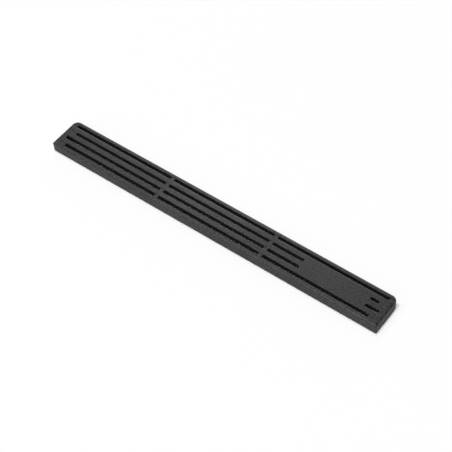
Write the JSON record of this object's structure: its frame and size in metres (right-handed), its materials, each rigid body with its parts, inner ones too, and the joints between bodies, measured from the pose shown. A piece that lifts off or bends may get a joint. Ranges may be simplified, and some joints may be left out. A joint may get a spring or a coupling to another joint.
{
  "type": "pc dust shield",
  "caption": "Slim black slotted cover that snaps over the front air intake of a small desktop computer, with a thin filter sheet in a shallow pocket behind its slots.",
  "frame": {"origin": "middle of the shield's outline, on the plane of the rear rim", "axes": "+X along the length, to the right as the face is read; +Y from the lower edge to the upper edge; +Z out of the face"},
  "size_m": [0.179, 0.0174, 0.0056],
  "materials": {
    "shell": "black moulded plastic with a fine matt grain",
    "filter": "black woven filter mesh"
  },
  "bodies": {
    "root": {"front_grille": "shell", "dust_filter": "filter"}
  },
  "joints": []
}
